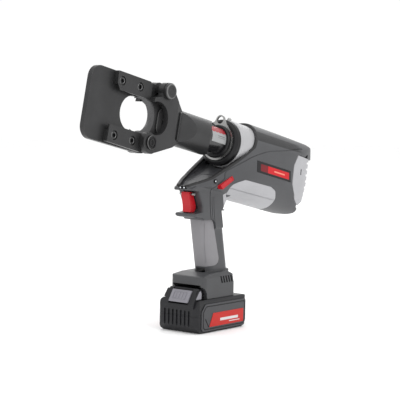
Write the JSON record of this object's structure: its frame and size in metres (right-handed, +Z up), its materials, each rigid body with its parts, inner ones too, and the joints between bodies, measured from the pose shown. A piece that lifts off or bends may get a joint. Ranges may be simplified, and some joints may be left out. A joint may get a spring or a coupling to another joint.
{
  "type": "battery hydraulic cutter",
  "caption": "Battery-powered hydraulic cutter: closed head with a gate blade frame on a swivelling neck, pistol grip, trigger, and slide-on battery that it stands on.",
  "frame": {"origin": "centre of the battery's flat bottom face, on which the tool stands", "axes": "+X forward to the cutting head, +Y the tool's left side (the side of the retract button), +Z up"},
  "size_m": [0.5317, 0.0804, 0.3913],
  "materials": {
    "black_steel": "black-oxide tool steel",
    "bright_steel": "ground steel",
    "cast_aluminium": "as cast",
    "black_tube": "satin black",
    "dark_plastic": "fine moulded texture",
    "black_plastic": "fine moulded texture",
    "pale_plastic": "satin moulded",
    "grip_rubber": "soft overmould",
    "release_plastic": "satin moulded",
    "red_plastic": "satin moulded",
    "seal_rubber": "nitrile",
    "copper": "enamelled winding and copper-clad board",
    "clear_plastic": "clear lens"
  },
  "bodies": {
    "housing": {"housing_left": "dark_plastic", "housing_right": "dark_plastic", "belly_cover": "pale_plastic", "grip_pad": "grip_rubber", "grip_spine": "pale_plastic", "rear_cap": "pale_plastic", "name_plate_left": "red_plastic", "name_plate_right": "red_plastic", "pump_barrel": "pale_plastic", "collar": "black_tube", "swivel_bearing": "bright_steel", "bleed_screw": "bright_steel", "pump_block": "cast_aluminium", "gearbox": "cast_aluminium", "motor_can": "black_steel", "oil_bladder": "seal_rubber", "pump_plunger": "bright_steel", "trigger_pin": "bright_steel", "trigger_spring": "bright_steel", "power_switch": "black_plastic", "control_board": "copper", "status_light": "clear_plastic", "work_light": "clear_plastic", "battery_foot": "dark_plastic", "terminal_block": "black_plastic"},
    "head": {"head_yoke": "black_steel", "pivot_pin": "black_steel", "pivot_snap_ring": "bright_steel", "ram_cylinder": "black_tube", "ram_label": "red_plastic", "swivel_retainer": "black_steel", "return_spring": "bright_steel"},
    "blade_frame": {"fixed_blade_frame": "black_steel", "guide_bar_upper": "black_steel", "guide_bar_lower": "black_steel", "guide_screw_1": "black_steel", "guide_screw_2": "black_steel", "guide_screw_3": "black_steel", "guide_screw_4": "black_steel"},
    "latch": {"latch_pin": "black_steel"},
    "ram": {"moving_blade": "bright_steel", "blade_holder": "black_steel", "blade_bolt": "bright_steel", "piston_rod": "bright_steel", "piston": "bright_steel", "piston_seal": "seal_rubber"},
    "ring": {"hang_ring": "bright_steel"},
    "trigger": {"trigger": "red_plastic"},
    "retract": {"retract_button": "red_plastic"},
    "rotor": {"motor_rotor": "copper", "motor_fan": "black_plastic"},
    "eccentric": {"eccentric_shaft": "bright_steel"},
    "battery": {"battery_base": "black_plastic", "battery_cover": "black_plastic", "battery_panel_left": "dark_plastic", "battery_panel_right": "dark_plastic", "battery_label_left": "red_plastic", "battery_label_right": "red_plastic", "battery_cells": "bright_steel"},
    "release": {"battery_release": "release_plastic"}
  },
  "joints": [
    {"name": "head_swivel", "type": "hinge", "parent": "housing", "child": "head", "pos_m": [0, 0, 0.28665], "axis": [0.977, 0, 0.213], "continuous": true},
    {"name": "blade_stroke", "type": "slide", "parent": "head", "child": "ram", "axis": [0.977, 0, 0.213], "range_m": [0, 0.061], "stiffness_N_per_m": 300, "springref_m": -0.05, "deforming": ["return_spring"]},
    {"name": "frame_swing", "type": "hinge", "parent": "head", "child": "blade_frame", "pos_m": [0.15167, 0, 0.2839], "axis": [0, 1, 0], "range_deg": [0, 100]},
    {"name": "latch_pull", "type": "slide", "parent": "head", "child": "latch", "axis": [0, 1, 0], "range_m": [0, 0.042]},
    {"name": "ring_swivel", "type": "hinge", "parent": "head", "child": "ring", "pos_m": [-0.02589, 0, 0.281], "axis": [0.977, 0, 0.213], "continuous": true},
    {"name": "trigger_pull", "type": "hinge", "parent": "housing", "child": "trigger", "pos_m": [0.0445, 0, 0.205], "axis": [0, 1, 0], "range_deg": [0, 8], "stiffness_Nm_per_rad": 0.3, "springref_deg": -11.46, "deforming": ["trigger_spring"]},
    {"name": "retract_press", "type": "slide", "parent": "housing", "child": "retract", "axis": [0, -1, 0], "range_m": [0, 0.0025], "stiffness_N_per_m": 800, "springref_m": -0.002},
    {"name": "battery_slide", "type": "slide", "parent": "housing", "child": "battery", "axis": [1, 0, 0], "range_m": [0, 0.09]},
    {"name": "release_press", "type": "slide", "parent": "battery", "child": "release", "axis": [-0.62, 0, -0.7846], "range_m": [0, 0.0022], "stiffness_N_per_m": 800, "springref_m": -0.002},
    {"name": "motor_spin", "type": "hinge", "parent": "housing", "child": "rotor", "pos_m": [-0.16639, 0, 0.20483], "axis": [0.977, 0, 0.213], "continuous": true},
    {"name": "eccentric_spin", "type": "hinge", "parent": "housing", "child": "eccentric", "pos_m": [-0.08627, 0, 0.22229], "axis": [0.977, 0, 0.213], "continuous": true}
  ],
  "couplings": [
    {"joint": "eccentric_spin", "follows": "motor_spin", "ratio": 0.083333}
  ]
}
